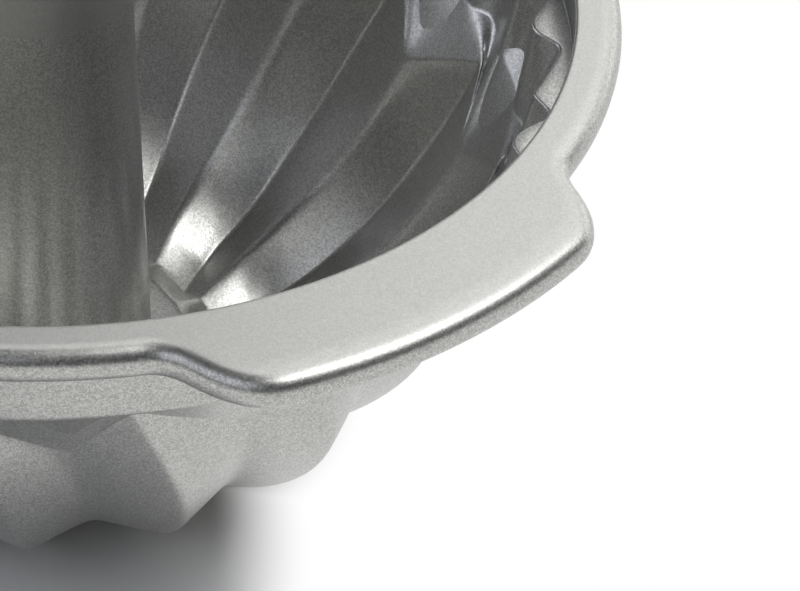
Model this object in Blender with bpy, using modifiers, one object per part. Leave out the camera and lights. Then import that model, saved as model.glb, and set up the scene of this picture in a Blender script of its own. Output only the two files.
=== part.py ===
"""Fluted tube pan for ring cakes, about ten inches across its rim.

Three pieces make it. The pressed shell has sixteen flutes that swirl round the floor and climb
the wall to a plain collar, then a flat flange with two tab handles and a rolled edge. The
tapered centre tube stands in the shell's floor, with its foot crimped round the shell's neck.
A round wire lies inside the rolled edge and stiffens the rim.

Metres, +Z up. The origin is on the table below the middle of the pan, and the handles lie
along X.
"""

import math

import bmesh
import bpy
from mathutils import Vector
from mathutils.geometry import interpolate_bezier

# Driving dimensions: sheet, wire and fits
SHEET = 0.0010
CLEARANCE = 0.0003
CURL_CLEARANCE = 0.0004

# Flange, rolled edge and handles
PAN_HEIGHT = 0.1115
MOUTH_RADIUS = 0.1210
MOUTH_FILLET = 0.0012
FLANGE_FLAT = 0.0060
BEAD_RADIUS = 0.0040
CURL_SWEEP = math.radians(270)
HANDLE_REACH = 0.0165
HANDLE_FLAT_ANGLE = math.radians(15.0)
HANDLE_ROOT_ANGLE = math.radians(25.2)
ROOT_SHARE = 0.3

# Collar and the ledge at its foot
COLLAR_DEPTH = 0.0255
COLLAR_FOOT_RADIUS = 0.1190

# Flutes: how many, where, and how far they swirl
FLUTES = 16
FLUTE_PHASE = math.radians(-2.9)
FLAT_SHARE = 0.05
CREST_FLOOR_SWIRL = math.radians(10.5)
VALLEY_FLOOR_SWIRL = math.radians(15.0)
FLOOR_SWIRL_RADIUS = 0.0630
CREST_WALL_SWIRL = math.radians(-6.1)
CREST_SWIRL_HEIGHT = 0.0150
CREST_SHOULDER_SWIRL = math.radians(5.0)
VALLEY_WALL_SWIRL = math.radians(-10.0)
VALLEY_SWIRL_HEIGHT = 0.0137
VALLEY_SWIRL_GROWTH = 1.6
VALLEY_SHOULDER_SWIRL = math.radians(4.3)

# Inside valley of a flute, from the floor to the collar
VALLEY_START_RADIUS = 0.0440
VALLEY_FLOOR_RADIUS = 0.0540
VALLEY_FLOOR_REACH = 0.0040
VALLEY_TOP_RADIUS = 0.1052
VALLEY_TOP_HEIGHT = 0.0750
VALLEY_WALL_REACH = 0.0637
VALLEY_WALL_LEAN = 0.0035

# Inside crest of a flute, from the floor to the ledge
CREST_START_HEIGHT = 0.0036
CREST_FLOOR_REACH = 0.0326
CREST_FLOOR_RISE = 0.0068
CREST_TOP_RADIUS = 0.0983
CREST_TOP_HEIGHT = 0.0600
CREST_WALL_REACH = 0.0303
CREST_WALL_LEAN = 0.0085
CREST_UPPER_RADIUS = 0.1080
CREST_UPPER_HEIGHT = 0.0815
CREST_EDGE_RADIUS = 0.1125

# How far above the table the underside is still pressed level
FOOT_PRESS = 0.0001

# Flat ring in the floor, with the neck that holds the tube
RING_RADIUS = 0.0354
RING_HEIGHT = 0.0076
NECK_DEPTH = 0.0040

# Centre tube
TUBE_FOOT_RADIUS = 0.0269
TUBE_TOP_RADIUS = 0.0205
TUBE_STAND = 0.0150
TUBE_TAPER_START = 0.0020
TUBE_LIP_RADIUS = 0.0016
CRIMP_LAP = 0.0018

# Mesh steps
FLUTE_STEPS = 8
BEAD_STEPS = 9
HANDLE_STEPS = (4, 10, 10)
OUTLINE_NUDGE = 1e-4
TUBE_SIDES = 48
ARC_STEPS = 4
LIP_STEPS = 6
SHARP_ANGLE = math.radians(35)

# Places worked out from the sizes
PITCH = 2 * math.pi / FLUTES
COLUMNS = ((FLAT_SHARE / 2, 0.0), (0.25, 0.5), (0.5 - FLAT_SHARE, 1.0),
           (0.5 + FLAT_SHARE, 1.0), (0.75, 0.5), (1 - FLAT_SHARE / 2, 0.0))
LEDGE_HEIGHT = PAN_HEIGHT - COLLAR_DEPTH
RIM_RADIUS = MOUTH_RADIUS + FLANGE_FLAT + BEAD_RADIUS
NECK_RADIUS = TUBE_FOOT_RADIUS + CLEARANCE
NECK_FOOT_HEIGHT = RING_HEIGHT - NECK_DEPTH
WIRE_RADIUS = BEAD_RADIUS - SHEET - CURL_CLEARANCE


def clear_scene():
    """Remove every object that is in the file."""
    for old in list(bpy.data.objects):
        bpy.data.objects.remove(old, do_unlink=True)


def metal(name, color, roughness, metallic=1.0):
    """A Principled material for one piece."""
    material = bpy.data.materials.new(name)
    material.use_nodes = True
    shader = material.node_tree.nodes["Principled BSDF"]
    shader.inputs["Base Color"].default_value = (*color, 1.0)
    shader.inputs["Roughness"].default_value = roughness
    shader.inputs["Metallic"].default_value = metallic
    material.diffuse_color = (*color, 1.0)
    return material


def add_object(name, data, material, collection):
    """Put mesh or curve data into the pan's collection with its material."""
    data.materials.append(material)
    piece = bpy.data.objects.new(name, data)
    collection.objects.link(piece)
    return piece


def mix(first, second, share):
    """The value a share of the way from the first to the second."""
    return first + (second - first) * share


def ease(share, turn):
    """Rise from 0 to 1 with level ends, hollow up to the turn and round after it."""
    share = min(1.0, max(0.0, share))
    if share < turn:
        return share * share / turn
    return 1 - (1 - share) ** 2 / (1 - turn)


def bezier(start, start_handle, end_handle, end, steps):
    """Points (radius, height) along one Bezier stretch, ends included."""
    knots = [Vector((radius, height, 0)) for radius, height in
             (start, start_handle, end_handle, end)]
    return [(point.x, point.y) for point in interpolate_bezier(*knots, steps + 1)]


# Shape of the flutes


def valley_profile():
    """Inside valley line from the ring's edge to the collar's foot."""
    floor = SHEET
    curve = bezier((VALLEY_FLOOR_RADIUS, floor),
                   (VALLEY_FLOOR_RADIUS + VALLEY_FLOOR_REACH, floor),
                   (VALLEY_TOP_RADIUS - VALLEY_WALL_LEAN, VALLEY_TOP_HEIGHT - VALLEY_WALL_REACH),
                   (VALLEY_TOP_RADIUS, VALLEY_TOP_HEIGHT), FLUTE_STEPS)
    edge = (COLLAR_FOOT_RADIUS - SHEET, LEDGE_HEIGHT)
    upper = tuple(mix(top, end, 0.5) for top, end in zip(curve[-1], edge))
    return [(VALLEY_START_RADIUS, floor), *curve, upper, edge]


def crest_profile():
    """Inside crest line, with as many points as the valley line."""
    curve = bezier((VALLEY_START_RADIUS, CREST_START_HEIGHT),
                   (VALLEY_START_RADIUS + CREST_FLOOR_REACH, CREST_START_HEIGHT + CREST_FLOOR_RISE),
                   (CREST_TOP_RADIUS - CREST_WALL_LEAN, CREST_TOP_HEIGHT - CREST_WALL_REACH),
                   (CREST_TOP_RADIUS, CREST_TOP_HEIGHT), FLUTE_STEPS + 1)
    upper = (CREST_UPPER_RADIUS, CREST_UPPER_HEIGHT)
    return [*curve, upper, (CREST_EDGE_RADIUS, LEDGE_HEIGHT)]


def floor_turn(radius, swirl):
    """How far a line on the floor has turned back at a radius inside the swirl's start."""
    inward = (FLOOR_SWIRL_RADIUS - radius) / (FLOOR_SWIRL_RADIUS - RING_RADIUS)
    return -swirl * max(0.0, inward) ** 2


def climbed(height, start, end):
    """Share of a stretch of height that a point has climbed."""
    return min(1.0, max(0.0, (height - start) / (end - start)))


def crest_turn(height):
    """How far a crest has turned at a height on the wall or the shoulder."""
    wall = climbed(height, CREST_SWIRL_HEIGHT, CREST_TOP_HEIGHT)
    shoulder = climbed(height, CREST_TOP_HEIGHT, LEDGE_HEIGHT)
    return CREST_WALL_SWIRL * wall + CREST_SHOULDER_SWIRL * shoulder


def valley_turn(height):
    """How far a valley has turned at a height on the wall or the shoulder."""
    wall = climbed(height, VALLEY_SWIRL_HEIGHT, VALLEY_TOP_HEIGHT) ** VALLEY_SWIRL_GROWTH
    shoulder = climbed(height, VALLEY_TOP_HEIGHT, LEDGE_HEIGHT)
    return VALLEY_WALL_SWIRL * wall + VALLEY_SHOULDER_SWIRL * shoulder


def flute_ring(crest, valley):
    """One ring of points round the pan, alternating between a crest and a valley."""
    at_crest = FLUTE_PHASE + crest_turn(crest[1]) + floor_turn(crest[0], CREST_FLOOR_SWIRL)
    at_valley = FLUTE_PHASE + valley_turn(valley[1]) + floor_turn(valley[0], VALLEY_FLOOR_SWIRL)
    ring = []
    for flute in range(FLUTES):
        for place, depth in COLUMNS:
            angle = mix(at_crest, at_valley, depth) + (flute + place) * PITCH
            radius = mix(crest[0], valley[0], depth)
            height = mix(crest[1], valley[1], depth)
            ring.append((radius * math.cos(angle), radius * math.sin(angle), height))
    return ring


def round_ring(radius, height, flute_height):
    """A plain ring whose points line up with the flutes at a height."""
    beside = (radius, flute_height)
    return [(point[0], point[1], height) for point in flute_ring(beside, beside)]


# Outline of the flange and its rolled edge


def outline_radius(angle):
    """Radius of the rolled edge's outside, with a handle at each end of X."""
    from_handle = abs(math.remainder(angle, math.pi))
    share = (HANDLE_ROOT_ANGLE - from_handle) / (HANDLE_ROOT_ANGLE - HANDLE_FLAT_ANGLE)
    return RIM_RADIUS + HANDLE_REACH * ease(share, ROOT_SHARE)


def outline_point(angle):
    """Point of the rolled edge's outside, seen from above."""
    return Vector((math.cos(angle), math.sin(angle))) * outline_radius(angle)


def outline_angles():
    """Angles round the outline, closer together where a handle leaves the rim."""
    stops = (0.0, HANDLE_FLAT_ANGLE, HANDLE_ROOT_ANGLE, math.pi / 2)
    quarter = []
    for first, last, steps in zip(stops, stops[1:], HANDLE_STEPS):
        quarter += [mix(first, last, step / steps) for step in range(steps)]
    half = quarter + [math.pi - angle for angle in reversed(quarter[1:] + [math.pi / 2])]
    return half + [angle + math.pi for angle in half]


def outline_frames():
    """Centre of the rolled edge and its outward direction, for each outline angle."""
    frames = []
    for angle in outline_angles():
        along = outline_point(angle + OUTLINE_NUDGE) - outline_point(angle - OUTLINE_NUDGE)
        outward = Vector((along.y, -along.x)).normalized()
        frames.append((outline_point(angle) - outward * BEAD_RADIUS, outward))
    return frames


def bead_ring(lift):
    """A ring of the rolled edge, at one angle of its section above the horizontal."""
    height = PAN_HEIGHT - BEAD_RADIUS + BEAD_RADIUS * math.sin(lift)
    reach = BEAD_RADIUS * math.cos(lift)
    return [(*(centre + outward * reach), height) for centre, outward in outline_frames()]


# The shell


def body_rings():
    """Rings of the shell's upper surface, from the neck to the edge of its mouth."""
    rings = [round_ring(NECK_RADIUS, NECK_FOOT_HEIGHT, 0),
             round_ring(NECK_RADIUS, RING_HEIGHT, 0),
             round_ring(RING_RADIUS, RING_HEIGHT, 0)]
    rings += [flute_ring(crest, valley) for crest, valley in zip(crest_profile(), valley_profile())]
    rings += [round_ring(COLLAR_FOOT_RADIUS, LEDGE_HEIGHT, LEDGE_HEIGHT),
              round_ring(MOUTH_RADIUS - MOUTH_FILLET, PAN_HEIGHT - MOUTH_FILLET, LEDGE_HEIGHT),
              round_ring(MOUTH_RADIUS, PAN_HEIGHT, LEDGE_HEIGHT)]
    return rings


def edge_rings():
    """Rings of the rolled edge's upper surface, from the flange to the curl's end."""
    return [bead_ring(math.pi / 2 - CURL_SWEEP * step / BEAD_STEPS)
            for step in range(BEAD_STEPS + 1)]


def loft(mesh, rings):
    """Join rings that all have the same number of points, and return their corners."""
    loops = [[mesh.verts.new(point) for point in ring] for ring in rings]
    for inner, outer in zip(loops, loops[1:]):
        for i in range(len(inner)):
            j = (i + 1) % len(inner)
            mesh.faces.new((inner[i], outer[i], outer[j], inner[j]))
    return loops


def loop_edges(mesh, corners):
    """The edges that join a closed ring of corners."""
    return [mesh.edges.get((corners[i - 1], corners[i])) for i in range(len(corners))]


def fluted_shell(collection):
    """The pressed shell, from the neck in its floor to the curl of its edge."""
    surface = bmesh.new()
    mouth = loft(surface, body_rings())[-1]
    edge = loft(surface, edge_rings())[0]
    borders = loop_edges(surface, mouth) + loop_edges(surface, edge)
    filled = bmesh.ops.triangle_fill(surface, use_beauty=True, edges=borders, normal=(0, 0, 1))
    flange = [face for face in filled["geom"] if isinstance(face, bmesh.types.BMFace)]
    facing_down = [face for face in flange if face.normal.z < 0]
    bmesh.ops.reverse_faces(surface, faces=facing_down)
    data = bpy.data.meshes.new("fluted_shell")
    surface.to_mesh(data)
    surface.free()
    coating = metal("silver_nonstick", (0.53, 0.53, 0.52), 0.38)
    shell = add_object("fluted_shell", data, coating, collection)
    thicken(shell)
    press_feet_flat(shell)
    shell.data.shade_smooth()
    shell.data.set_sharp_from_angle(angle=SHARP_ANGLE)
    return shell


def thicken(piece):
    """Give the surface its sheet thickness on the lower side, and apply it."""
    solidify = piece.modifiers.new("Sheet", "SOLIDIFY")
    solidify.thickness = SHEET
    solidify.offset = -1.0
    solidify.use_even_offset = True
    solidify.use_quality_normals = True
    graph = bpy.context.evaluated_depsgraph_get()
    solid = bpy.data.meshes.new_from_object(piece.evaluated_get(graph))
    piece.modifiers.clear()
    piece.data = solid


def press_feet_flat(piece):
    """Level the underside of each valley on the table, as the press does."""
    for vertex in piece.data.vertices:
        if vertex.co.z < FOOT_PRESS:
            vertex.co.z = 0.0


# The centre tube


def arc(centre, radius, start, end, steps):
    """Points (radius, height) round part of a circle in the profile plane."""
    return [(centre[0] + radius * math.cos(mix(start, end, step / steps)),
             centre[1] + radius * math.sin(mix(start, end, step / steps)))
            for step in range(steps + 1)]


def tube_profile():
    """Closed section of the tube's sheet, with its lip and crimped foot."""
    top = PAN_HEIGHT + TUBE_STAND
    lip = TUBE_LIP_RADIUS
    crimp = NECK_FOOT_HEIGHT
    neck_out = NECK_RADIUS + SHEET
    outside = arc((TUBE_TOP_RADIUS - lip, top - lip), lip, math.pi, 0, LIP_STEPS)
    outside.append((TUBE_FOOT_RADIUS, RING_HEIGHT + TUBE_TAPER_START))
    outside.append((TUBE_FOOT_RADIUS, crimp - CLEARANCE))
    outside.append((neck_out + CLEARANCE, crimp - CLEARANCE))
    outside.append((neck_out + CLEARANCE, crimp + CRIMP_LAP))
    outside.append((neck_out + CLEARANCE + SHEET, crimp + CRIMP_LAP))
    outside += arc((neck_out + CLEARANCE, crimp - CLEARANCE), SHEET, 0, -math.pi / 2, ARC_STEPS)
    inside = arc((TUBE_FOOT_RADIUS, crimp - CLEARANCE), SHEET, -math.pi / 2, -math.pi, ARC_STEPS)
    inside.append((TUBE_FOOT_RADIUS - SHEET, RING_HEIGHT + TUBE_TAPER_START))
    inside += arc((TUBE_TOP_RADIUS - lip, top - lip), lip - SHEET, 0, math.pi, LIP_STEPS)
    return outside + inside


def centre_tube(collection):
    """The tapered tube, turned from its section."""
    section = tube_profile()
    data = bpy.data.meshes.new("centre_tube")
    points = [(radius, 0.0, height) for radius, height in section]
    edges = [(i, (i + 1) % len(points)) for i in range(len(points))]
    data.from_pydata(points, edges, [])
    coating = metal("tube_nonstick", (0.53, 0.53, 0.52), 0.34)
    tube = add_object("centre_tube", data, coating, collection)
    screw = tube.modifiers.new("Turn", "SCREW")
    screw.axis = "Z"
    screw.steps = TUBE_SIDES
    screw.render_steps = TUBE_SIDES
    screw.use_merge_vertices = True
    screw.merge_threshold = 0.0001
    return tube


# The wire in the rolled edge


def rim_wire(collection):
    """Round wire along the middle of the rolled edge."""
    data = bpy.data.curves.new("rim_wire", "CURVE")
    data.dimensions = "3D"
    data.bevel_depth = WIRE_RADIUS
    data.bevel_resolution = 2
    spline = data.splines.new("POLY")
    frames = outline_frames()
    spline.points.add(len(frames) - 1)
    for point, (centre, _) in zip(spline.points, frames):
        point.co = (*centre, PAN_HEIGHT - BEAD_RADIUS, 1.0)
    spline.use_cyclic_u = True
    steel = metal("plain_steel", (0.56, 0.57, 0.58), 0.35)
    return add_object("rim_wire", data, steel, collection)


def build():
    """Make the whole pan."""
    clear_scene()
    collection = bpy.data.collections.new("fluted_tube_pan")
    bpy.context.scene.collection.children.link(collection)
    fluted_shell(collection)
    centre_tube(collection)
    rim_wire(collection)


build()
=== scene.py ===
"""Looks of the fluted tube pan: the coated shell, its centre tube and the light they stand in.

Metres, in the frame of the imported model: +Z up from the table, the handles along X.
"""

import math

import bpy
import numpy as np
from mathutils import Matrix, Vector
from mathutils.geometry import interpolate_bezier


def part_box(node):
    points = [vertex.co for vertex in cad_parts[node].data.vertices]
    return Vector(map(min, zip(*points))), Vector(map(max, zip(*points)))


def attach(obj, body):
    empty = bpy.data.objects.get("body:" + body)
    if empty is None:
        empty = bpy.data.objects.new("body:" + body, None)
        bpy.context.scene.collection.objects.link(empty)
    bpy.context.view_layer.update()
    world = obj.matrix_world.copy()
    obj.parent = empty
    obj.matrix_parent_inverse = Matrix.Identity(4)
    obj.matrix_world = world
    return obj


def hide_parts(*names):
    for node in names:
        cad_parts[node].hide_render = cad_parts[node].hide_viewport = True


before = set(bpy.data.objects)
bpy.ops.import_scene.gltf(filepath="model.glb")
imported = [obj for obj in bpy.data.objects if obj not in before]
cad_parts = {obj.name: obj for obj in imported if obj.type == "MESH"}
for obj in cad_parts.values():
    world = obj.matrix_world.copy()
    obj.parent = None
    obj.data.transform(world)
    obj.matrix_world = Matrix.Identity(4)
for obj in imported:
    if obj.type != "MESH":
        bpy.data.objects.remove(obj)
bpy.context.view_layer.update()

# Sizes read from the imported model
HANDLE_RADIUS, RIM_RADIUS, PAN_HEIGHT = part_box("fluted_shell")[1]
TUBE_TOP_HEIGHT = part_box("centre_tube")[1].z

# Sheet, fits and rolled edge
SHEET = 0.0010
CLEARANCE = 0.0003
BEAD_RADIUS = 0.0040
CURL_SWEEP = math.radians(270)
HANDLE_FLAT_ANGLE = math.radians(15.0)
HANDLE_ROOT_ANGLE = math.radians(25.2)
ROOT_SHARE = 0.3

# Collar, ring and neck
MOUTH_RADIUS = 0.1210
MOUTH_FILLET = 0.0007
MOUTH_MARGIN = 0.0004
COLLAR_FOOT_RADIUS = 0.1190
LEDGE_HEIGHT = 0.0860
RING_RADIUS = 0.0354
RING_HEIGHT = 0.0076
NECK_RADIUS = 0.0272
NECK_FOOT_HEIGHT = 0.0036

# Flutes
FLUTES = 16
PITCH = 2 * math.pi / FLUTES
FLUTE_PHASE = math.radians(-2.9)
CREST_FLOOR_SWIRL = math.radians(10.5)
VALLEY_FLOOR_SWIRL = math.radians(15.0)
FLOOR_SWIRL_RADIUS = 0.0630
CREST_WALL_SWIRL = math.radians(-6.1)
CREST_SWIRL_HEIGHT = 0.0150
CREST_SHOULDER_SWIRL = math.radians(5.0)
VALLEY_WALL_SWIRL = math.radians(-10.0)
VALLEY_SWIRL_HEIGHT = 0.0137
VALLEY_SWIRL_GROWTH = 1.6
VALLEY_SHOULDER_SWIRL = math.radians(4.3)
CREST_SOFTNESS = 0.16
VALLEY_SOFTNESS = 0.05

# Valley and crest lines of a flute, as (radius, height)
STANDING_HEIGHT = SHEET + 0.00002
VALLEY_START = (0.0440, STANDING_HEIGHT)
VALLEY_FLOOR = (0.0540, STANDING_HEIGHT)
VALLEY_FLOOR_HANDLE = (0.0580, STANDING_HEIGHT)
VALLEY_WALL_HANDLE = (0.1017, 0.0113)
VALLEY_TOP = (0.1052, 0.0750)
VALLEY_UPPER = (0.1116, 0.0805)
VALLEY_EDGE = (0.1180, LEDGE_HEIGHT)
CREST_START = (0.0440, 0.0036)
CREST_FLOOR_HANDLE = (0.0766, 0.0104)
CREST_WALL_HANDLE = (0.0898, 0.0297)
CREST_TOP = (0.0983, 0.0600)
CREST_UPPER = (0.1080, 0.0815)
CREST_EDGE = (0.1125, LEDGE_HEIGHT)

# Scalloped wall inside, below its ledge: share of a flute, then turn in degrees from the crest
# and radius in millimetres at the wall's foot and top, and the foot's height in millimetres
SCALLOPS = np.array([(0.00, 0.1, 108.5, 0.5, 112.2, 79.0),
                     (0.12, 2.3, 109.0, 2.1, 113.3, 79.6),
                     (0.25, 4.8, 110.7, 5.6, 115.2, 80.0),
                     (0.38, 7.1, 111.1, 8.6, 117.2, 80.4),
                     (0.45, 8.1, 110.9, 10.2, 118.0, 80.4),
                     (0.50, 9.3, 110.0, 11.1, 117.0, 80.0),
                     (0.55, 10.3, 109.2, 12.0, 114.2, 79.5),
                     (0.62, 11.8, 109.0, 13.4, 112.0, 79.2),
                     (0.68, 13.3, 109.0, 14.9, 111.6, 79.2),
                     (0.76, 15.5, 110.2, 16.9, 113.4, 79.8),
                     (0.84, 18.3, 111.7, 18.6, 116.2, 80.5),
                     (0.90, 19.8, 112.0, 20.0, 117.8, 80.7),
                     (0.94, 20.8, 111.3, 21.0, 117.2, 80.4),
                     (0.97, 21.7, 110.0, 21.9, 115.0, 79.7),
                     (1.00, 22.6, 108.5, 23.0, 112.2, 79.0)])
MILLIMETRES = 1000
SCALLOP_EASINGS = 2
SCALLOP_LEDGE_HEIGHT = 0.0995
SCALLOP_LIP = 0.0007
SCALLOP_LEDGE_RADIUS = 0.1203
SCALLOP_COLLAR_RADIUS = 0.1206

# Rings of the scalloped wall: shares of its shoulder, wall and ledge, and turns of its corners
SHOULDER_SHARES = (0.12, 0.35, 0.60, 0.85, 0.96, 1.00)
WALL_SHARES = (0.05, 0.20, 0.45, 0.70, 0.90, 0.96, 1.00)
LEDGE_SHARES = (0.4, 0.8, 1.0)
CORNER_TURNS = np.radians((30, 60, 90))
# Share of the way from the scallops' angles to evenly spread ones, at the ledge's outer edge
LEDGE_EVENING = 0.5
# Bends of the plain shoulder and ledge, whose rings the scalloped wall takes over
PLAIN_BENDS = 3

# Mesh steps of the shell, from its neck to the curl's end
FLUTE_COLUMNS = 30
COLUMNS = FLUTES * FLUTE_COLUMNS
COLUMN_CROWDING = 0.6
NECK_STEPS = 2
RING_STEPS = 3
RING_EDGE_STEPS = 3
FOOT_STEPS = 4
WALL_STEPS = 26
SHOULDER_STEPS = 6
RISE_STEPS = 3
LEDGE_STEPS = 3
COLLAR_STEPS = 6
FILLET_STEPS = 4
FLANGE_STEPS = 5
BEAD_STEPS = 15

# Mesh steps of the tube
TUBE_SIDES = 128
CRIMP_STEPS = 3
TAPER_STEPS = 24
LIP_STEPS = 12

# Bends at the shell's corners: their reach, the most of a stretch that they take, their steps
BEND = 0.0010
BEND_SHARE = 0.45
BEND_STEPS = 3

# Angle over which an edge is shaded sharp, and the small turn that gives the outline's direction
SHARP_ANGLE = math.radians(50)
OUTLINE_NUDGE = 1e-4

# Centre tube
TUBE_FOOT_RADIUS = 0.0269
TUBE_TOP_RADIUS = 0.0205
TUBE_TAPER_HEIGHT = 0.0096
TUBE_LIP_RADIUS = 0.0016
CRIMP_LAP = 0.0018

# Coating: its flakes' size, darkest and lightest colour and roughness, and its spray texture
FLAKE_SIZE = 0.0003
FLAKE_COLOURS = ("#9c9c99", "#cbcbc8")
FLAKE_MIDDLE = 0.5
FLANGE_FLAKE_SHOW = 0.3
FLAKE_ROUGHNESS = (0.28, 0.42)
SPRAY_GRAIN = 0.0004
SPRAY_DETAIL = 2.0
SPRAY_STRENGTH = 0.5
SPRAY_DEPTH = 0.00003
COATING_METAL = 0.92

# Wire: its drawing marks' size and detail, its roughness and colour
WIRE_MARK = 0.0015
WIRE_DETAIL = 3.0
WIRE_ROUGHNESS = (0.25, 0.45)
WIRE_COLOUR = "#c4c6c8"

# Sockets of a Mix node, whose names repeat: inputs, then outputs
MIX_SHARE, MIX_VALUE_A, MIX_VALUE_B, MIX_COLOUR_A, MIX_COLOUR_B = 0, 2, 3, 6, 7
MIXED_VALUE, MIXED_COLOUR = 0, 2

# The photograph's camera
CAMERA_PLACE = Vector((0.6021, -0.4162, 0.6167))
CAMERA_AIM = Vector((0.1334, -0.0036, 0.1115))
CAMERA_ROLL = math.radians(3.85)
CAMERA_LENS = 178.26
CAMERA_SENSOR = 36.0
CAMERA_CLIP = (0.01, 50.0)

# Soft boxes: turn and rise in degrees, width and height in metres, power in watts and colour
SOFT_BOXES = (("top_box", 50.0, 62.0, 1.3, 1.3, 22.0, "#ffffff"),
              ("back_box", 104.0, 50.0, 2.4, 1.8, 22.5, "#ffffff"),
              ("low_back_box", 112.0, 14.0, 2.8, 0.8, 10.0, "#ffffff"),
              ("front_box", -82.0, 42.0, 2.0, 1.4, 10.0, "#f3f6ff"),
              ("left_box", -147.0, 19.0, 1.8, 0.8, 10.0, "#f0f3ff"))
LAMP_DISTANCE = 2.2
PAN_MIDDLE = Vector((0, 0, PAN_HEIGHT))
ROOM_COLOUR = "#f3f6ff"
ROOM_LEVEL = 0.035

# Paper: its size, drop below the pan, colours, and the reach of the shadow that it shows
PAPER_RADIUS = 6.0
PAPER_SIDES = 128
PAPER_EDGE = 1.0
PAPER_DROP = 0.0002
PAPER_COLOUR = "#f4f4f4"
PAPER_WHITE = "#ffffff"
PAPER_SHADE_PLACE = (-0.010, -0.120, 0.0)
PAPER_SHADE_REACH = (0.143, 0.167)
PAPER_CONTACT_REACH = (0.058, 0.080)


def linear(hex_color):
    """The linear colour of an sRGB hex value."""
    channels = [int(hex_color[start:start + 2], 16) / 255 for start in (1, 3, 5)]
    return [c / 12.92 if c <= 0.04045 else ((c + 0.055) / 1.055) ** 2.4 for c in channels] + [1.0]


def mix(first, second, share):
    """The value a share of the way from the first to the second."""
    return first + (second - first) * share


# Profile lines


def straight(start, end, steps):
    """Points from the start up to, and without, the end."""
    return [tuple(mix(a, b, step / steps) for a, b in zip(start, end)) for step in range(steps)]


def curved(start, start_handle, end_handle, end, steps):
    """Points along a Bezier stretch, without its end."""
    knots = [Vector((*point, 0)) for point in (start, start_handle, end_handle, end)]
    return [(point.x, point.y) for point in interpolate_bezier(*knots, steps + 1)[:-1]]


def bent(points, corners):
    """The line with each listed corner eased into a short bend."""
    line = []
    for index, point in enumerate(points):
        if index not in corners:
            line.append(point)
            continue
        corner = np.array(point)
        before = np.array(points[index - 1]) - corner
        after = np.array(points[index + 1]) - corner
        start = corner + before * min(BEND / np.hypot(*before), BEND_SHARE)
        end = corner + after * min(BEND / np.hypot(*after), BEND_SHARE)
        for step in range(BEND_STEPS + 1):
            share = step / BEND_STEPS
            line.append(tuple(mix(mix(start, corner, share), mix(corner, end, share), share)))
    return line


def whole_line(flute, top, upper, edge):
    """A line from the neck along a flute's points, and on up the shoulder and the collar."""
    neck_foot, neck_top = (NECK_RADIUS, NECK_FOOT_HEIGHT), (NECK_RADIUS, RING_HEIGHT)
    ring_edge = (RING_RADIUS, RING_HEIGHT)
    collar_foot = (COLLAR_FOOT_RADIUS, LEDGE_HEIGHT)
    collar_top = (MOUTH_RADIUS - MOUTH_FILLET, PAN_HEIGHT - MOUTH_FILLET)
    stretches = [straight(neck_foot, neck_top, NECK_STEPS),
                 straight(neck_top, ring_edge, RING_STEPS),
                 straight(ring_edge, flute[0], RING_EDGE_STEPS),
                 flute,
                 straight(top, upper, SHOULDER_STEPS),
                 straight(upper, edge, RISE_STEPS),
                 straight(edge, collar_foot, LEDGE_STEPS)]
    points, corners = [], []
    for stretch in stretches:
        points += stretch
        corners.append(len(points))
    points += straight(collar_foot, collar_top, COLLAR_STEPS)
    fillet = [(MOUTH_RADIUS - MOUTH_FILLET * math.cos(turn),
               PAN_HEIGHT - MOUTH_FILLET * (1 - math.sin(turn)))
              for turn in np.linspace(0, math.pi / 2, FILLET_STEPS + 1)]
    return bent(points, corners) + fillet


def valley_line():
    """Line up a valley, from the neck to the mouth."""
    floor = straight(VALLEY_START, VALLEY_FLOOR, FOOT_STEPS)
    wall = curved(VALLEY_FLOOR, VALLEY_FLOOR_HANDLE, VALLEY_WALL_HANDLE, VALLEY_TOP, WALL_STEPS)
    return whole_line(floor + wall, VALLEY_TOP, VALLEY_UPPER, VALLEY_EDGE)


def crest_line():
    """Line up a crest, with as many points as a valley's."""
    wall = curved(CREST_START, CREST_FLOOR_HANDLE, CREST_WALL_HANDLE, CREST_TOP,
                  FOOT_STEPS + WALL_STEPS)
    return whole_line(wall, CREST_TOP, CREST_UPPER, CREST_EDGE)


# Rings of the shell


def floor_turn(radius, swirl):
    """How far a line on the floor has turned back at a radius inside the swirl's start."""
    inward = (FLOOR_SWIRL_RADIUS - radius) / (FLOOR_SWIRL_RADIUS - RING_RADIUS)
    return -swirl * max(0.0, inward) ** 2


def climbed(height, start, end):
    """Share of a stretch of height that a point has climbed."""
    return min(1.0, max(0.0, (height - start) / (end - start)))


def crest_turn(height):
    """How far a crest has turned at a height on the wall or the shoulder."""
    wall = climbed(height, CREST_SWIRL_HEIGHT, CREST_TOP[1])
    shoulder = climbed(height, CREST_TOP[1], LEDGE_HEIGHT)
    return CREST_WALL_SWIRL * wall + CREST_SHOULDER_SWIRL * shoulder


def valley_turn(height):
    """How far a valley has turned at a height on the wall or the shoulder."""
    wall = climbed(height, VALLEY_SWIRL_HEIGHT, VALLEY_TOP[1]) ** VALLEY_SWIRL_GROWTH
    shoulder = climbed(height, VALLEY_TOP[1], LEDGE_HEIGHT)
    return VALLEY_WALL_SWIRL * wall + VALLEY_SHOULDER_SWIRL * shoulder


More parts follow.
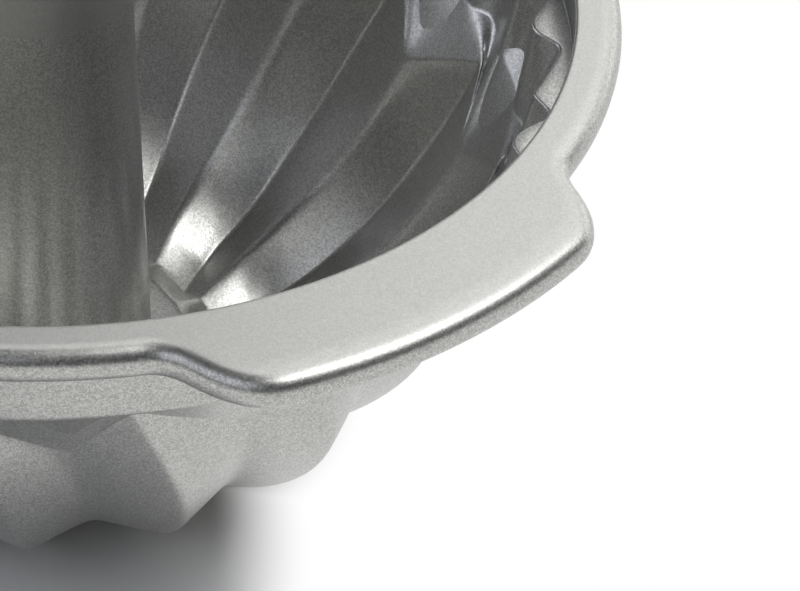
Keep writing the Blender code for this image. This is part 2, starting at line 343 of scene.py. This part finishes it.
def flute_places():
    """Place of each column in its flute, crowded at the crest and the valley, and its depth."""
    even = np.arange(FLUTE_COLUMNS) / FLUTE_COLUMNS
    place = even - COLUMN_CROWDING * np.sin(4 * math.pi * even) / (4 * math.pi)
    from_crest = 1 - np.abs(1 - 2 * place)
    depth = from_crest - CREST_SOFTNESS / 2
    near = from_crest < CREST_SOFTNESS
    depth[near] = from_crest[near] ** 2 / (2 * CREST_SOFTNESS)
    full = 1 - CREST_SOFTNESS / 2 - VALLEY_SOFTNESS / 2
    far = from_crest > 1 - VALLEY_SOFTNESS
    depth[far] = full - (1 - from_crest[far]) ** 2 / (2 * VALLEY_SOFTNESS)
    return np.tile(place, FLUTES), np.tile(depth / full, FLUTES)


def even_angles():
    """Evenly spread column angles, started where the flutes' columns end."""
    step = 2 * math.pi / COLUMNS
    turn = (crest_turn(LEDGE_HEIGHT) + valley_turn(LEDGE_HEIGHT)) / 2
    start = round((FLUTE_PHASE + turn) / step)
    return (np.arange(COLUMNS) + start) * step


def flute_ring(crest, valley):
    """One ring of points round the pan, between a crest point and a valley point."""
    place, depth = flute_places()
    at_crest = FLUTE_PHASE + crest_turn(crest[1]) + floor_turn(crest[0], CREST_FLOOR_SWIRL)
    at_valley = FLUTE_PHASE + valley_turn(valley[1]) + floor_turn(valley[0], VALLEY_FLOOR_SWIRL)
    angle = mix(at_crest, at_valley, depth)
    angle = angle + place * PITCH + np.repeat(np.arange(FLUTES), FLUTE_COLUMNS) * PITCH
    angle = mix(angle, even_angles(), climbed(crest[1], LEDGE_HEIGHT, PAN_HEIGHT))
    radius = mix(crest[0], valley[0], depth)
    height = mix(crest[1], valley[1], depth)
    return np.stack([radius * np.cos(angle), radius * np.sin(angle), height], axis=1)


def outline_point(angle):
    """Points of the rolled edge's outside, with a handle at each end of X."""
    from_handle = np.abs(np.remainder(angle + math.pi / 2, math.pi) - math.pi / 2)
    share = (HANDLE_ROOT_ANGLE - from_handle) / (HANDLE_ROOT_ANGLE - HANDLE_FLAT_ANGLE)
    share = np.clip(share, 0, 1)
    rise = np.where(share < ROOT_SHARE, share ** 2 / ROOT_SHARE,
                    1 - (1 - share) ** 2 / (1 - ROOT_SHARE))
    radius = RIM_RADIUS + (HANDLE_RADIUS - RIM_RADIUS) * rise
    return np.stack([radius * np.cos(angle), radius * np.sin(angle)], axis=1)


def bead_ring(lift):
    """A ring of the rolled edge, at one angle of its section above the horizontal."""
    angle = even_angles()
    along = outline_point(angle + OUTLINE_NUDGE) - outline_point(angle - OUTLINE_NUDGE)
    outward = np.stack([along[:, 1], -along[:, 0]], axis=1)
    outward /= np.linalg.norm(outward, axis=1, keepdims=True)
    flat = outline_point(angle) - outward * BEAD_RADIUS * (1 - math.cos(lift))
    height = np.full(COLUMNS, PAN_HEIGHT - BEAD_RADIUS + BEAD_RADIUS * math.sin(lift))
    return np.column_stack([flat, height])


def shell_rings():
    """The shell's upper surface as rings, from the neck in the floor to the curl's end."""
    rings = [flute_ring(*points) for points in zip(crest_line(), valley_line())]
    spread = 1 + MOUTH_MARGIN / MOUTH_RADIUS
    margin, bead_top = rings[-1] * (spread, spread, 1), bead_ring(math.pi / 2)
    rings += [mix(margin, bead_top, step / FLANGE_STEPS) for step in range(FLANGE_STEPS)]
    rings += [bead_ring(math.pi / 2 - CURL_SWEEP * step / BEAD_STEPS)
              for step in range(BEAD_STEPS + 1)]
    return rings


def scallop_values(values):
    """One measure of the scallops at each column of a flute, eased over its corners."""
    share = np.arange(FLUTE_COLUMNS) / FLUTE_COLUMNS
    column = np.interp(share, SCALLOPS[:, 0], values)
    step = values[-1] - values[0]
    for _ in range(SCALLOP_EASINGS):
        wide = np.concatenate([column[-1:] - step, column, column[:1] + step])
        column = (wide[:-2] + 2 * wide[1:-1] + wide[2:]) / 4
    return np.tile(column, FLUTES)


def scallop_angles(turns):
    """Angles of all columns, from their turns in degrees from each crest."""
    crests = FLUTE_PHASE + crest_turn(LEDGE_HEIGHT) + np.arange(FLUTES) * PITCH
    return np.repeat(crests, FLUTE_COLUMNS) + np.radians(scallop_values(turns))


def round_points(radius, angle, height):
    """Points at the radii, angles and heights."""
    spread = np.broadcast_arrays(radius * np.cos(angle), radius * np.sin(angle), height)
    return np.stack(spread, axis=1)


def scalloped_rings(rings):
    """The inside's rings, with the scalloped wall, its ledge and the collar above them."""
    fillet = len(crest_line()) - FILLET_STEPS - 1
    plain = (SHOULDER_STEPS + RISE_STEPS + LEDGE_STEPS + COLLAR_STEPS
             + PLAIN_BENDS * BEND_STEPS - 1)
    kink = rings[fillet - plain - 1]
    foot_turn, foot_radius, top_turn, top_radius, foot_height = SCALLOPS.T[1:]
    foot = round_points(scallop_values(foot_radius) / MILLIMETRES, scallop_angles(foot_turn),
                        scallop_values(foot_height) / MILLIMETRES)
    angle, radius = scallop_angles(top_turn), scallop_values(top_radius) / MILLIMETRES
    top = round_points(radius, angle, SCALLOP_LEDGE_HEIGHT - SCALLOP_LIP)
    new = [mix(kink, foot, share) for share in SHOULDER_SHARES]
    new += [mix(foot, top, share) for share in WALL_SHARES]
    for turn in CORNER_TURNS:
        new.append(round_points(radius + SCALLOP_LIP * (1 - math.cos(turn)), angle,
                                SCALLOP_LEDGE_HEIGHT - SCALLOP_LIP * (1 - math.sin(turn))))
    angle = mix(angle, even_angles(), LEDGE_EVENING)
    ledge = round_points(SCALLOP_LEDGE_RADIUS, angle, SCALLOP_LEDGE_HEIGHT)
    new += [mix(new[-1], ledge, share) for share in LEDGE_SHARES]
    rise = SCALLOP_COLLAR_RADIUS - SCALLOP_LEDGE_RADIUS
    for turn in CORNER_TURNS:
        new.append(round_points(SCALLOP_LEDGE_RADIUS + rise * math.sin(turn), angle,
                                SCALLOP_LEDGE_HEIGHT + rise * (1 - math.cos(turn))))
    left = plain - len(new)
    new += [mix(new[-1], rings[fillet], step / (left + 1)) for step in range(1, left + 1)]
    return rings[:fillet - plain] + new + rings[fillet:]


# Modelling


def point_places(piece):
    """The places of a piece's points."""
    places = np.zeros(len(piece.data.vertices) * 3)
    piece.data.vertices.foreach_get("co", places)
    return places.reshape(-1, 3)


def move_points(piece, places):
    """Put a piece's points in new places."""
    piece.data.vertices.foreach_set("co", places.ravel())
    piece.data.update()


def turned_sheet(name, rings):
    """A circle extruded ring by ring, then pressed to each ring's own shape."""
    sides = len(rings[0])
    bpy.ops.object.select_all(action="DESELECT")
    bpy.ops.mesh.primitive_circle_add(vertices=sides, radius=rings[0][:, 0].max())
    piece = bpy.context.object
    piece.name = name
    bpy.ops.object.mode_set(mode="EDIT")
    bpy.ops.mesh.select_all(action="SELECT")
    for _ in rings[1:]:
        bpy.ops.mesh.extrude_edges_move(TRANSFORM_OT_translate={"value": (0, 0, 1)})
    bpy.ops.object.mode_set(mode="OBJECT")
    places = point_places(piece)
    ring = np.rint(places[:, 2]).astype(int)
    turn = np.arctan2(places[:, 1], places[:, 0]) / (2 * math.pi) * sides
    column = np.rint(turn).astype(int) % sides
    move_points(piece, np.stack(rings)[ring, column])
    return piece, (ring, column)


def thicken(piece, thickness):
    """Give the sheet its thickness below the upper surface."""
    bpy.ops.object.select_all(action="DESELECT")
    piece.select_set(True)
    bpy.context.view_layer.objects.active = piece
    bpy.ops.object.mode_set(mode="EDIT")
    bpy.ops.mesh.select_all(action="SELECT")
    bpy.ops.mesh.normals_make_consistent(inside=False)
    bpy.ops.object.mode_set(mode="OBJECT")
    solidify = piece.modifiers.new("Sheet", "SOLIDIFY")
    solidify.thickness = thickness
    solidify.offset = -1.0
    solidify.use_even_offset = True
    bpy.ops.object.modifier_apply(modifier=solidify.name)
    bpy.ops.object.shade_smooth_by_angle(angle=SHARP_ANGLE)


def press_inside(piece, rings, order):
    """Move the sheet's upper surface, whose points come first, to the rings given."""
    places = point_places(piece)
    places[:len(order[0])] = np.stack(rings)[order]
    move_points(piece, places)
    bpy.ops.object.shade_smooth_by_angle(angle=SHARP_ANGLE)


def make_shell():
    """The pressed shell with its flutes, collar, flange, handles and rolled edge."""
    rings = shell_rings()
    shell, order = turned_sheet("coated_shell", rings)
    thicken(shell, SHEET)
    press_inside(shell, scalloped_rings(rings), order)
    return shell


def tube_line():
    """Outside of the tube's sheet as (radius, height), from the crimp at the neck to the lip."""
    crimp = NECK_FOOT_HEIGHT - CLEARANCE
    lap = NECK_RADIUS + SHEET + CLEARANCE
    corners = [(lap, NECK_FOOT_HEIGHT + CRIMP_LAP), (lap, crimp), (TUBE_FOOT_RADIUS, crimp),
               (TUBE_FOOT_RADIUS, TUBE_TAPER_HEIGHT)]
    line = []
    for start, end in zip(corners, corners[1:]):
        line += straight(start, end, CRIMP_STEPS)
    centre = (TUBE_TOP_RADIUS - TUBE_LIP_RADIUS, TUBE_TOP_HEIGHT - TUBE_LIP_RADIUS)
    line += straight(corners[-1], (TUBE_TOP_RADIUS, centre[1]), TAPER_STEPS)
    for step in range(LIP_STEPS + 1):
        angle = math.pi * step / LIP_STEPS
        line.append((centre[0] + TUBE_LIP_RADIUS * math.cos(angle),
                     centre[1] + TUBE_LIP_RADIUS * math.sin(angle)))
    return line


def make_tube():
    """The tapered centre tube with its rolled lip and crimped foot."""
    angle = np.arange(TUBE_SIDES) * 2 * math.pi / TUBE_SIDES
    rings = [np.stack([radius * np.cos(angle), radius * np.sin(angle),
                       np.full(TUBE_SIDES, height)], axis=1) for radius, height in tube_line()]
    tube = turned_sheet("coated_tube", rings)[0]
    thicken(tube, SHEET)
    return tube


# Materials


def add_node(material, kind, links=(), **settings):
    """Add a node, set its sockets and options by name, and link sockets into it."""
    tree = material.node_tree
    node = tree.nodes.new("ShaderNode" + kind)
    for name, value in settings.items():
        socket = name.replace("_", " ")
        if socket in node.inputs:
            node.inputs[socket].default_value = value
        else:
            setattr(node, name, value)
    for output, socket in links:
        tree.links.new(output, node.inputs[socket])
    return node


def new_material(name):
    """An empty node material and its output node."""
    material = bpy.data.materials.new(name)
    material.use_nodes = True
    material.node_tree.nodes.clear()
    return material, add_node(material, "OutputMaterial")


def silicone_coating():
    """Sprayed silicone-polyester coating: silver grey, satin, with fine metal flake."""
    material, output = new_material("sprayed_silver_coating")
    place = add_node(material, "TexCoord")
    # Flakes of 0.05 mm, drawn six times as coarse to show
    flake = add_node(material, "TexVoronoi", [(place.outputs["Object"], "Vector")],
                     Scale=1 / FLAKE_SIZE)
    tone = add_node(material, "SeparateColor", [(flake.outputs["Color"], "Color")])
    # The flat flange is smoother than the flutes, so its flakes show less
    height = add_node(material, "SeparateXYZ", [(place.outputs["Object"], "Vector")])
    show = add_node(material, "MapRange", [(height.outputs["Z"], "Value")],
                    From_Min=PAN_HEIGHT - BEND, From_Max=PAN_HEIGHT,
                    To_Min=1.0, To_Max=FLANGE_FLAKE_SHOW)
    fleck = add_node(material, "Mix", [(show.outputs["Result"], MIX_SHARE),
                                       (tone.outputs["Red"], MIX_VALUE_B)], data_type="FLOAT")
    fleck.inputs[MIX_VALUE_A].default_value = FLAKE_MIDDLE
    colour = add_node(material, "Mix", [(fleck.outputs[MIXED_VALUE], MIX_SHARE)],
                      data_type="RGBA")
    colour.inputs[MIX_COLOUR_A].default_value = linear(FLAKE_COLOURS[0])
    colour.inputs[MIX_COLOUR_B].default_value = linear(FLAKE_COLOURS[1])
    gloss = add_node(material, "MapRange", [(tone.outputs["Green"], "Value")],
                     To_Min=FLAKE_ROUGHNESS[0], To_Max=FLAKE_ROUGHNESS[1])
    # Spray texture of about 0.4 mm
    grain = add_node(material, "TexNoise", [(place.outputs["Object"], "Vector")],
                     Scale=1 / SPRAY_GRAIN, Detail=SPRAY_DETAIL)
    bump = add_node(material, "Bump", [(grain.outputs["Fac"], "Height")],
                    Strength=SPRAY_STRENGTH, Distance=SPRAY_DEPTH)
    shader = add_node(material, "BsdfPrincipled",
                      [(colour.outputs[MIXED_COLOUR], "Base Color"),
                       (gloss.outputs["Result"], "Roughness"),
                       (bump.outputs["Normal"], "Normal")], Metallic=COATING_METAL)
    material.node_tree.links.new(shader.outputs["BSDF"], output.inputs["Surface"])
    return material


def drawn_wire():
    """Drawn steel wire: bright, with fine marks along it."""
    material, output = new_material("drawn_steel_wire")
    place = add_node(material, "TexCoord")
    marks = add_node(material, "TexNoise", [(place.outputs["Object"], "Vector")],
                     Scale=1 / WIRE_MARK, Detail=WIRE_DETAIL)
    tone = add_node(material, "MapRange", [(marks.outputs["Fac"], "Value")],
                    To_Min=WIRE_ROUGHNESS[0], To_Max=WIRE_ROUGHNESS[1])
    shader = add_node(material, "BsdfPrincipled", [(tone.outputs["Result"], "Roughness")],
                      Base_Color=linear(WIRE_COLOUR), Metallic=1.0)
    material.node_tree.links.new(shader.outputs["BSDF"], output.inputs["Surface"])
    return material


def dress(piece, material):
    """Give a piece its one material."""
    piece.data.materials.clear()
    piece.data.materials.append(material)


# Stage, light and camera


def white_paper():
    """Matt white paper: it keeps the object's shadow, and is plain white further away."""
    material, output = new_material("matt_white_paper")
    place = add_node(material, "TexCoord")
    distance = add_node(material, "VectorMath", [(place.outputs["Object"], 0)],
                        operation="DISTANCE")
    distance.inputs[1].default_value = PAPER_SHADE_PLACE
    far = add_node(material, "MapRange", [(distance.outputs["Value"], "Value")],
                   interpolation_type="SMOOTHSTEP", From_Min=PAPER_SHADE_REACH[0],
                   From_Max=PAPER_SHADE_REACH[1])
    apart = add_node(material, "VectorMath", [(place.outputs["Object"], 0)],
                     operation="LENGTH")
    clear = add_node(material, "MapRange", [(apart.outputs["Value"], "Value")],
                     interpolation_type="SMOOTHSTEP", From_Min=PAPER_CONTACT_REACH[0],
                     From_Max=PAPER_CONTACT_REACH[1])
    white = add_node(material, "Math", [(far.outputs["Result"], 0),
                                        (clear.outputs["Result"], 1)], operation="MINIMUM")
    path = add_node(material, "LightPath")
    seen = add_node(material, "Math", [(path.outputs["Is Camera Ray"], 0),
                                       (path.outputs["Is Glossy Ray"], 1)], operation="MAXIMUM")
    through = add_node(material, "Math", [(seen.outputs["Value"], 0),
                                          (path.outputs["Is Transmission Ray"], 1)],
                       operation="MAXIMUM")
    share = add_node(material, "Math", [(through.outputs["Value"], 0),
                                        (white.outputs["Value"], 1)], operation="MULTIPLY")
    paper = add_node(material, "BsdfDiffuse", Color=linear(PAPER_COLOUR))
    glow = add_node(material, "Emission", Color=linear(PAPER_WHITE), Strength=1.0)
    shader = add_node(material, "MixShader", [(share.outputs["Value"], 0),
                                              (paper.outputs["BSDF"], 1),
                                              (glow.outputs["Emission"], 2)])
    material.node_tree.links.new(shader.outputs["Shader"], output.inputs["Surface"])
    return material


def make_floor():
    """A round sweep of white paper: flat under the pan, with a low upturned edge far off."""
    bpy.ops.object.select_all(action="DESELECT")
    bpy.ops.mesh.primitive_circle_add(vertices=PAPER_SIDES, radius=PAPER_RADIUS,
                                      fill_type="NGON", location=(0, 0, -PAPER_DROP))
    floor = bpy.context.object
    floor.name = "paper_sweep"
    bpy.ops.object.mode_set(mode="EDIT")
    bpy.ops.mesh.select_mode(type="EDGE")
    bpy.ops.mesh.select_all(action="SELECT")
    bpy.ops.mesh.extrude_edges_move(TRANSFORM_OT_translate={"value": (0, 0, PAPER_EDGE)})
    bpy.ops.object.mode_set(mode="OBJECT")
    dress(floor, white_paper())


def soft_box(name, turn, rise, width, height, power, colour):
    """A soft box aimed at the pan, from a turn and a rise in degrees."""
    lamp = bpy.data.lights.new(name, "AREA")
    lamp.shape = "RECTANGLE"
    lamp.size = width
    lamp.size_y = height
    lamp.energy = power
    lamp.color = linear(colour)[:3]
    box = bpy.data.objects.new(name, lamp)
    turn, rise = math.radians(turn), math.radians(rise)
    way = Vector((math.cos(turn) * math.cos(rise), math.sin(turn) * math.cos(rise),
                  math.sin(rise)))
    box.matrix_world = (Matrix.Translation(way * LAMP_DISTANCE + PAN_MIDDLE)
                        @ way.to_track_quat("Z", "Y").to_matrix().to_4x4())
    bpy.context.scene.collection.objects.link(box)


def make_light():
    """Soft boxes above, behind and in front, and low behind and at the left, in a dim room."""
    world = bpy.data.worlds.new("dim_room")
    world.use_nodes = True
    bpy.context.scene.world = world
    background = world.node_tree.nodes["Background"]
    background.inputs["Color"].default_value = linear(ROOM_COLOUR)
    background.inputs["Strength"].default_value = ROOM_LEVEL
    for place in SOFT_BOXES:
        soft_box(*place)


def make_camera():
    """The camera, at the photograph's viewing angle."""
    camera = bpy.data.cameras.new("camera")
    camera.lens = CAMERA_LENS
    camera.sensor_width = CAMERA_SENSOR
    camera.clip_start, camera.clip_end = CAMERA_CLIP
    eye = bpy.data.objects.new("camera", camera)
    level = (CAMERA_AIM - CAMERA_PLACE).to_track_quat("-Z", "Y").to_matrix().to_4x4()
    eye.matrix_world = (Matrix.Translation(CAMERA_PLACE) @ level
                        @ Matrix.Rotation(CAMERA_ROLL, 4, "Z"))
    bpy.context.scene.collection.objects.link(eye)
    bpy.context.scene.camera = eye


def main():
    """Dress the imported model."""
    make_camera()
    coating = silicone_coating()
    shell = make_shell()
    dress(shell, coating)
    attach(shell, "root")
    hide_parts("fluted_shell")
    tube = make_tube()
    dress(tube, coating)
    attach(tube, "root")
    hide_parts("centre_tube")
    dress(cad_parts["rim_wire"], drawn_wire())
    make_floor()
    make_light()
    bpy.context.scene.view_settings.view_transform = "Standard"


main()
